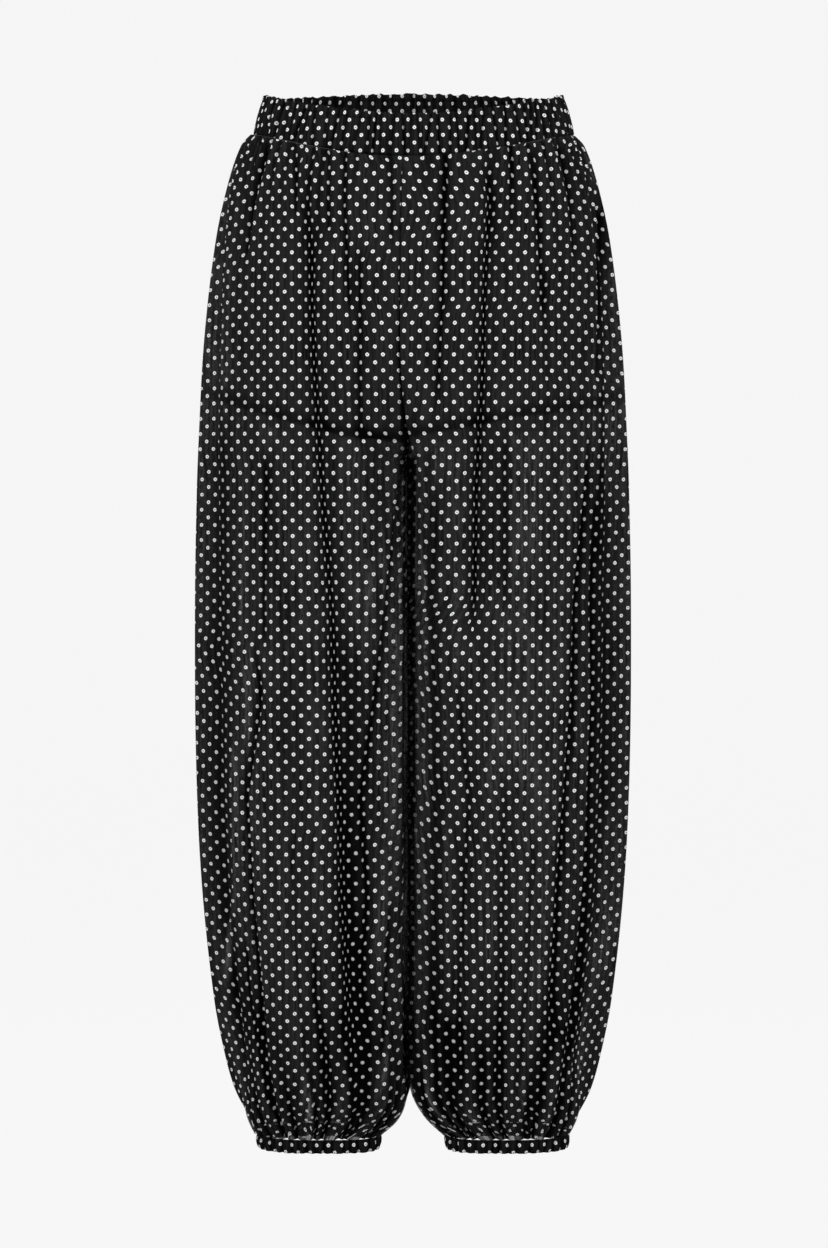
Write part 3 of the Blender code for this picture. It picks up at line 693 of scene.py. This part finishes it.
def even_ring(x, y, count):
    """The ring at even steps, with its outward directions smoothed over its corners."""
    x, y = np.append(x, x[0]), np.append(y, y[0])
    run = np.concatenate(([0.0], np.cumsum(np.hypot(np.diff(x), np.diff(y)))))
    at = np.linspace(0.0, run[-1], count, endpoint=False)
    px, py = np.interp(at, run, x), np.interp(at, run, y)
    ax, ay = np.roll(px, -3) - np.roll(px, 3), np.roll(py, -3) - np.roll(py, 3)
    size = np.hypot(ax, ay)
    return px, py, ay / size, -ax / size, at, run[-1]


def ring_gathers(seed, count, at, total, spread, up, slant=0.0):
    """Uneven upright gathers round a ring at a share of its height: each leans its own way."""
    places, deeps, wides, longs = gathers(seed, count, 0.0, 1.0)
    depth, core = np.zeros_like(at), np.zeros_like(at)
    for place, deep, wide, long in zip(places, deeps, wides, longs):
        middle = place * total + slant * (2.0 * long - 0.7) * (up - 0.5)
        off = (at - middle + 0.5 * total) % total - 0.5 * total
        depth += deep * crease(off, spread * wide, spread * wide)
        core += deep * crease(off, 0.45 * spread * wide, 0.45 * spread * wide)
    return depth, core


print("round the waist seam:", round(even_ring(*ring_path("waist", BAND_BOTTOM["side"]), 200)[5]), "mm")


# %% Closing a grid into a ring
def ring_of_cloth(name, points, level, core, painted_shade, flat_width, wall, outward):
    """A grid whose first and last columns meet is moved to its points and joined into a ring; its painted
    shade is stored on the cloth.
    """
    points, core, painted_shade = (np.array(rows)[::-1] for rows in (points, core, painted_shade))
    points, core, painted_shade = (np.concatenate((rows, rows[:, :1]), axis=1) for rows in (points, core, painted_shade))
    length = np.linalg.norm(np.diff(points, axis=1), axis=2).sum(axis=1).mean()
    tucked = core * max(0.0, flat_width - length) / (core.mean() * length)
    cloth = flat_map(points, level, tucked, core, (0, len(points) - 1), 0.0)
    cloth[:, :, 0] = cloth[:, :, 0].mean(axis=0)
    piece = cloth_grid(name, points.shape[1] - 1, points.shape[0] - 1, points, cloth, 1.0 - painted_shade, outward)
    bpy.ops.object.mode_set(mode="EDIT")
    bpy.ops.mesh.select_all(action="SELECT")
    bpy.ops.mesh.remove_doubles(threshold=0.00001)
    bpy.ops.object.mode_set(mode="OBJECT")
    return thicken(piece, wall)


# %% The waistband
BAND_GRID = (640, 26)
BAND_FLAT = (1080.0, 46.0)
BAND_GATHERS, FRILL_GATHERS = 92, 76
HEADING = 0.84  # share of the band's height where the stitching is, and the frill starts


def waistband():
    columns, rows = BAND_GRID
    px, py, nx, ny, at, total = even_ring(*ring_path("waist", BAND_BOTTOM["side"]), columns)
    # The share from the centre to the side follows the way round, as on the panels.
    half_wide, half_deep = BAND_HALF
    share = np.abs(np.arctan2(px / half_wide, np.abs(py) / half_deep)) / (0.5 * np.pi)
    share = np.clip(share, 0.0, 1.0)
    low, high = (
        np.where(py < 0.0, *(sloped(edge, face, share) for face in FACES))
        for edge in (BAND_BOTTOM, BAND_TOP)
    )
    points, cores, painted_shade = [], [], []
    for up in np.linspace(0.0, 1.0, rows + 1):
        fold, core = ring_gathers(61, BAND_GATHERS, at, total, 1.9, up, 7.0)
        frill, _ = ring_gathers(62, FRILL_GATHERS, at, total, 2.8, up)
        slim_x, slim_y = (1.0 - up * less / half for less, half in zip(BAND_NARROWING, BAND_HALF))
        swell = 1.2 * math.sin(math.pi * min(1.0, up / 0.86)) ** 0.7 if up < 0.86 else 0.0
        pinch = 0.55 + 0.45 * math.sin(math.pi * min(1.0, up / HEADING)) if up < HEADING else 0.55
        heading = float(smooth((up - HEADING) / 0.16))
        wave = (1.0 - heading) * pinch * fold * 5.0 + heading * (1.6 * fold + 2.6 * frill)
        push = 0.9 + swell - wave + 0.5 * heading - 3.2 * np.abs(nx) + 0.8 * nx
        x, y = px * slim_x + nx * push, py * slim_y + ny * push
        rise = low + (high - low) * up + heading * (1.4 * frill - 1.0 * fold)
        points.append(np.stack((x, y, rise), axis=1))
        cores.append(core + 0.03)
        # Painted shade along the bottom edge and along the row of stitching under the frill.
        seam_shade = 0.5 * (up < 0.05) + 0.45 * (abs(up - HEADING) < 0.03)
        # The troughs of the gathers are painted darker: painted shade.
        painted_shade.append(np.clip(0.6 * fold + 0.7 * core + seam_shade, 0.0, 1.0))
    return ring_of_cloth("waistband", points, 0.0, cores, painted_shade, BAND_FLAT[0], 0.9, True)


band = waistband()

# %% The cuffs
CUFF_GRID = (300, 14)
CASING_GATHERS = 36
CUFF_FLAT = (400.0, 15.0)
CUFF_DROP = 3.4  # the casing's own slack, below its solid


def cuff(side):
    name = f"{SIDES[side]}_cuff"
    columns, rows = CUFF_GRID
    px, py, nx, ny, at, total = even_ring(*ring_path("ankle", CUFF_TOP), columns)
    points, cores, painted_shade = [], [], []
    for up in np.linspace(0.0, 1.0, rows + 1):
        fold, core = ring_gathers(71 + side, CASING_GATHERS, at, total, 2.0, up, 3.0)
        swell = 1.6 * math.sin(math.pi * up)
        push = 1.6 + swell - (2.6 + 0.6 * math.cos(math.pi * up)) * fold
        x, y = px + nx * push, py + ny * push
        rise = CUFF_BOTTOM - CUFF_DROP + (CUFF_TOP + CUFF_DROP - CUFF_BOTTOM) * up + 0.5 * fold * (0.5 - up)
        points.append(np.stack((side * x, y, rise), axis=1))
        cores.append(core + 0.03)
        # The cuffs are painted a little darker all over and darker still in the troughs of their gathers:
        # painted shade.
        painted_shade.append(np.clip(0.3 + 0.5 * fold + 0.6 * core, 0.0, 1.0))
    return ring_of_cloth(name, points, CUFF_TOP, cores, painted_shade, CUFF_FLAT[0], 0.9, side > 0)


cuffs = {side: cuff(side) for side in SIDES}

# %% [markdown]
# ## The finishes
#
# All the finishes come from the flat coordinates, which are in metres. The print is one white dot on
# each corner of a square of 14.5 mm and one in its middle. The chiffon is sheer: most light that meets it
# is stopped by black threads, and some passes between them. Its crinkle is a noise stretched along the
# grain. It makes the cloth thinner and thicker in fine upright lines, and it makes them stand up. Where
# the cloth lies in creases and gathers, its colour is darkened and its dots are greyed: painted shade.

# %% Helpers for a finish
def new_finish(name):
    finish = bpy.data.materials.new(name)
    finish.use_nodes = True
    tree = finish.node_tree
    return finish, tree, tree.nodes["Principled BSDF"]


def add(tree, kind, **settings):
    node = tree.nodes.new(kind)
    for key, value in settings.items():
        setattr(node, key, value)
    return node


def set_inputs(node, values):
    for socket, value in values.items():
        node.inputs[socket].default_value = value


def calculate(tree, operation, *values, clamp=False):
    """A Math node: each value is a number or another node's output."""
    node = add(tree, "ShaderNodeMath", operation=operation, use_clamp=clamp)
    for socket, value in zip(node.inputs, values):
        if isinstance(value, (int, float)):
            socket.default_value = value
        else:
            tree.links.new(value, socket)
    return node.outputs[0]


def between(tree, value, low, high, to_low=0.0, to_high=1.0):
    """A soft step: to_low below low, to_high above high."""
    node = add(tree, "ShaderNodeMapRange", interpolation_type="SMOOTHSTEP")
    tree.links.new(value, node.inputs[0])
    for socket, number in zip(node.inputs[1:5], (low, high, to_low, to_high)):
        socket.default_value = number
    return node.outputs[0]


def mix_colour(tree, factor, first, second):
    node = add(tree, "ShaderNodeMix", data_type="RGBA")
    tree.links.new(factor, node.inputs["Factor"])
    for socket, colour in ((node.inputs[6], first), (node.inputs[7], second)):
        if isinstance(colour, tuple):
            socket.default_value = (*colour, 1.0)
        else:
            tree.links.new(colour, socket)
    return node.outputs[2]


def noise(tree, where, scale, detail=2.0, roughness=0.5):
    node = add(tree, "ShaderNodeTexNoise")
    tree.links.new(where, node.inputs["Vector"])
    set_inputs(node, {"Scale": scale, "Detail": detail, "Roughness": roughness})
    return node.outputs["Fac"]


def stretched(tree, where, across, along_grain):
    """Coordinates with a different scale across and along the grain."""
    node = add(tree, "ShaderNodeMapping")
    tree.links.new(where, node.inputs["Vector"])
    node.inputs["Scale"].default_value = (across, along_grain, 1.0)
    return node.outputs["Vector"]


def cloth_inputs(tree):
    """The flat coordinates, and how open the cloth is and how little painted shade it takes."""
    where = add(tree, "ShaderNodeUVMap", uv_map="UVMap").outputs[0]
    return where, add(tree, "ShaderNodeAttribute", attribute_name="open").outputs["Fac"]


def raise_relief(tree, shader, height, strength, distance):
    bump = add(tree, "ShaderNodeBump")
    set_inputs(bump, {"Strength": strength, "Distance": distance})
    tree.links.new(height, bump.inputs["Height"])
    tree.links.new(bump.outputs["Normal"], shader.inputs["Normal"])


print("helpers for finishes ready")

# %% The printed dot
DOT_PITCH, DOT_RADIUS, DOT_EDGE, DOT_UNEVEN = 0.0145, 0.00175, 0.00022, 0.0007


def dot_distance(tree, flat, shift):
    """Distance, in metres, to the nearest point of a square lattice."""
    squares = []
    for axis in (0, 1):
        lattice = calculate(tree, "ADD", calculate(tree, "DIVIDE", flat[axis], DOT_PITCH), shift)
        off = calculate(tree, "SUBTRACT", calculate(tree, "FRACT", lattice), 0.5)
        squares.append(calculate(tree, "MULTIPLY", off, off))
    return calculate(tree, "MULTIPLY", calculate(tree, "SQRT", calculate(tree, "ADD", *squares)), DOT_PITCH)


def printed_dots(tree, where):
    """How white the print is, and how far into a dot a point is."""
    uneven = calculate(tree, "SUBTRACT", noise(tree, where, 900.0), 0.5)
    uneven = calculate(tree, "MULTIPLY", uneven, DOT_UNEVEN)
    axes = add(tree, "ShaderNodeSeparateXYZ")
    tree.links.new(where, axes.inputs[0])
    flat = axes.outputs[0], axes.outputs[1]
    nearest = calculate(tree, "MINIMUM", dot_distance(tree, flat, 0.0), dot_distance(tree, flat, 0.5))
    nearest = calculate(tree, "ADD", nearest, uneven)
    inside = between(tree, nearest, DOT_RADIUS - DOT_EDGE, DOT_RADIUS + DOT_EDGE, 1.0, 0.0)
    centre = between(tree, nearest, 0.0003, 0.0012, 1.0, 0.0)
    return inside, centre


# %% Chiffon and its elastic casings
DOT_WHITE, DOT_CENTRE = (0.92, 0.92, 0.91), (0.18, 0.18, 0.18)
# The grey of dots in creases and gathers: painted shade.
DOT_SHADED = (0.45, 0.45, 0.45)
# The deep thread colour serves the crinkle's dark threads and the painted shade in creases.
THREAD_BLACK, THREAD_CRINKLE_AND_SHADE = (0.031, 0.031, 0.032), (0.0015, 0.0015, 0.0016)
THREAD_CASING = (0.018, 0.018, 0.019)


def dotted_cloth(name, sheer, crinkle_height, sheen, lightest):
    """Crinkled black cloth with a printed dot. sheer is how much light one surface of it lets through.
    Where the cloth lies in creases and gathers its threads are painted darker and its dots grey: painted
    shade.
    """
    finish, tree, shader = new_finish(name)
    where, open_and_unshaded = cloth_inputs(tree)
    inside, centre = printed_dots(tree, where)
    fine = noise(tree, stretched(tree, where, 1.0, 0.03), 560.0, 3.0, 0.6)
    broad = noise(tree, stretched(tree, where, 1.0, 0.10), 110.0, 2.0)
    thread = mix_colour(tree, between(tree, fine, 0.2, 0.7), THREAD_CRINKLE_AND_SHADE, lightest)
    # Where the cloth lies in a crease or gather, the thread colour is darkened: painted shade.
    thread = mix_colour(tree, open_and_unshaded, THREAD_CRINKLE_AND_SHADE, thread)
    dot = mix_colour(tree, centre, DOT_WHITE, DOT_CENTRE)
    # Dots there are greyed too: painted shade.
    dot = mix_colour(tree, between(tree, open_and_unshaded, 0.0, 0.8), DOT_SHADED, dot)
    tree.links.new(mix_colour(tree, inside, thread, dot), shader.inputs["Base Color"])
    set_inputs(shader, {"Roughness": 0.75, "Specular IOR Level": 0.0})
    set_inputs(shader, {"Sheen Weight": sheen, "Sheen Roughness": 0.45})
    if sheer > 0.0:
        gaps = calculate(tree, "MULTIPLY", between(tree, fine, 0.25, 0.8, 0.5, 1.5), sheer)
        gaps = calculate(tree, "MULTIPLY", gaps, between(tree, broad, 0.3, 0.7, 0.8, 1.2))
        gaps = calculate(tree, "MULTIPLY", gaps, open_and_unshaded)
        gaps = calculate(tree, "MULTIPLY", gaps, calculate(tree, "SUBTRACT", 1.0, inside))
        alpha = calculate(tree, "SUBTRACT", 1.0, gaps, clamp=True)
        tree.links.new(alpha, shader.inputs["Alpha"])
    raised = [calculate(tree, "MULTIPLY", *part) for part in ((fine, 0.6), (broad, 0.9), (inside, 0.25))]
    relief = calculate(tree, "ADD", calculate(tree, "ADD", *raised[:2]), raised[2])
    raise_relief(tree, shader, relief, 0.5, crinkle_height)
    print(name, "uses", len(tree.nodes), "nodes")
    return finish


chiffon = dotted_cloth("dotted chiffon", 0.33, 0.0012, 0.015, THREAD_BLACK)
casing = dotted_cloth("dotted casing", 0.0, 0.0012, 0.012, THREAD_CASING)


# %% Plain lining
# The hem's thread colour is painted darker than the lining: painted shade.
LINING_THREADS, HEM_SHADE_THREAD = ((0.030, 0.030, 0.032), (0.060, 0.060, 0.062)), (0.0015, 0.0015, 0.0015)


def lining_cloth():
    """Fine plain weave that lets little light through and none where the hem is turned up, where its colour
    is painted dark: painted shade.
    """
    finish, tree, shader = new_finish("plain lining")
    where, open_and_unshaded = cloth_inputs(tree)
    weave = noise(tree, stretched(tree, where, 1.0, 0.2), 1500.0, 2.0)
    cloud = noise(tree, where, 30.0, 2.0)
    colour = mix_colour(tree, between(tree, weave, 0.35, 0.65), *LINING_THREADS)
    colour = mix_colour(tree, open_and_unshaded, HEM_SHADE_THREAD, colour)
    tree.links.new(colour, shader.inputs["Base Color"])
    set_inputs(shader, {"Roughness": 0.8, "Specular IOR Level": 0.2, "Sheen Weight": 0.03})
    open_share = calculate(tree, "MULTIPLY", between(tree, cloud, 0.3, 0.7, 0.12, 0.2), open_and_unshaded)
    tree.links.new(calculate(tree, "SUBTRACT", 1.0, open_share), shader.inputs["Alpha"])
    raise_relief(tree, shader, weave, 0.3, 0.0004)
    return finish


lining_finish = lining_cloth()
print("finishes:", [finish.name for finish in (chiffon, casing, lining_finish)])

# %% Dress the pieces
def dress(piece, finish):
    """Gives a piece its finish, hangs it from the root body and hides the solid it stands for."""
    piece.data.materials.clear()
    piece.data.materials.append(finish)
    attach(piece, "root")
    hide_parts(piece.name.removesuffix("_cloth"))


for piece in legs.values():
    dress(piece, chiffon)
for piece in linings.values():
    dress(piece, lining_finish)
dress(band, casing)
for piece in cuffs.values():
    dress(piece, casing)
print("dressed pieces:", len(legs) + len(linings) + 1 + len(cuffs))

# %% [markdown]
# ## Studio
#
# The trousers hang in front of a plain pale sweep: a floor that curves up into a wall. It gives off a
# little light of its own, as a lit paper roll does, so it is evenly pale from top to bottom. Two broad
# soft lamps stand to the left and right, a third hangs above and a fourth stands behind, so that the
# folds show without hard shadows. The camera stands 3 m away at the height of the thighs and looks
# slightly down.

# %% The sweep
PALE = (0.905, 0.905, 0.905)
SEEN, LIGHTING = 1.0, 0.30  # how bright the paper looks, and how much it lights the cloth
SWEEP_NEAR, SWEEP_WIDE, FLOOR_HEIGHT = -8.0, 16.0, -1.35  # metres
FLOOR_LONG, BEND_RADIUS, WALL_HIGH = 14.0, 2.0, 4.0


def seen_or_lighting(tree):
    """Strength of the paper's light: full where it is seen, less where it lights something."""
    path = add(tree, "ShaderNodeLightPath").outputs["Is Camera Ray"]
    return between(tree, path, 0.0, 1.0, LIGHTING, SEEN)


def sweep():
    """A floor that curves up behind the trousers."""
    bpy.ops.object.select_all(action="DESELECT")
    bpy.ops.mesh.primitive_grid_add(x_subdivisions=2, y_subdivisions=48, size=1.0)
    floor = bpy.context.object
    floor.name = "floor"
    run, turn = FLOOR_LONG, BEND_RADIUS
    for vertex in floor.data.vertices:
        s = (vertex.co.y + 0.5) * (run + 0.5 * math.pi * turn + WALL_HIGH)
        bend = min(max((s - run) / turn, 0.0), 0.5 * math.pi)
        beyond = max(0.0, s - run - 0.5 * math.pi * turn)
        y = SWEEP_NEAR + min(s, run) + turn * math.sin(bend)
        z = FLOOR_HEIGHT + turn * (1.0 - math.cos(bend)) + beyond
        vertex.co = (vertex.co.x * SWEEP_WIDE, y, z)
    bpy.ops.object.shade_smooth()
    finish, tree, shader = new_finish("pale paper")
    set_inputs(shader, {"Base Color": (0.03, 0.03, 0.03, 1.0), "Roughness": 1.0})
    set_inputs(shader, {"Specular IOR Level": 0.0, "Emission Color": (*PALE, 1.0)})
    tree.links.new(seen_or_lighting(tree), shader.inputs["Emission Strength"])
    floor.data.materials.append(finish)
    return floor


floor = sweep()
world = bpy.data.worlds.new("studio")
bpy.context.scene.world = world
world.use_nodes = True
sky = world.node_tree.nodes["Background"]
set_inputs(sky, {"Color": (*PALE, 1.0)})
world.node_tree.links.new(seen_or_lighting(world.node_tree), sky.inputs["Strength"])
bpy.context.scene.view_settings.view_transform = "Standard"
print("sweep:", len(floor.data.polygons), "faces")


# %% Lamps
def lamp(name, place, target, width, height, watts):
    data = bpy.data.lights.new(name, "AREA")
    data.shape = "RECTANGLE"
    data.size, data.size_y = width, height
    data.energy = watts
    light = bpy.data.objects.new(name, data)
    bpy.context.scene.collection.objects.link(light)
    aim = Vector(target) - Vector(place)
    light.location = place
    light.rotation_euler = aim.to_track_quat("-Z", "Y").to_euler()
    return light


lamps = [
    lamp("left softbox", (-2.3, -2.3, 0.2), (0, 0, -0.5), 0.9, 1.8, 58.0),
    lamp("right softbox", (2.3, -2.3, 0.2), (0, 0, -0.5), 0.9, 1.8, 54.0),
    lamp("top softbox", (0.0, -1.0, 2.2), (0, 0, -0.4), 1.8, 1.0, 20.0),
    lamp("back softbox", (0.0, 2.8, 0.8), (0, 0, -0.5), 2.4, 1.4, 30.0),
]
print("lamps:", [light.name for light in lamps])

# %% Camera
CAMERA_AWAY, CAMERA_HEIGHT, VIEW_MIDDLE, VIEW_HEIGHT = 3.0, -0.300, -0.4725, 1.2018  # metres
SENSOR = 36.0
camera_data = bpy.data.cameras.new("camera")
camera = bpy.data.objects.new("camera", camera_data)
bpy.context.scene.collection.objects.link(camera)
camera.location = (0.001, -CAMERA_AWAY, CAMERA_HEIGHT)
down = math.atan((CAMERA_HEIGHT - VIEW_MIDDLE) / CAMERA_AWAY)
camera.rotation_euler = (0.5 * math.pi - down, 0.0, 0.0)
camera_data.sensor_width = SENSOR
camera_data.lens = SENSOR * math.hypot(CAMERA_AWAY, CAMERA_HEIGHT - VIEW_MIDDLE) / VIEW_HEIGHT
bpy.context.scene.camera = camera
print("lens:", round(camera_data.lens, 1), "mm")
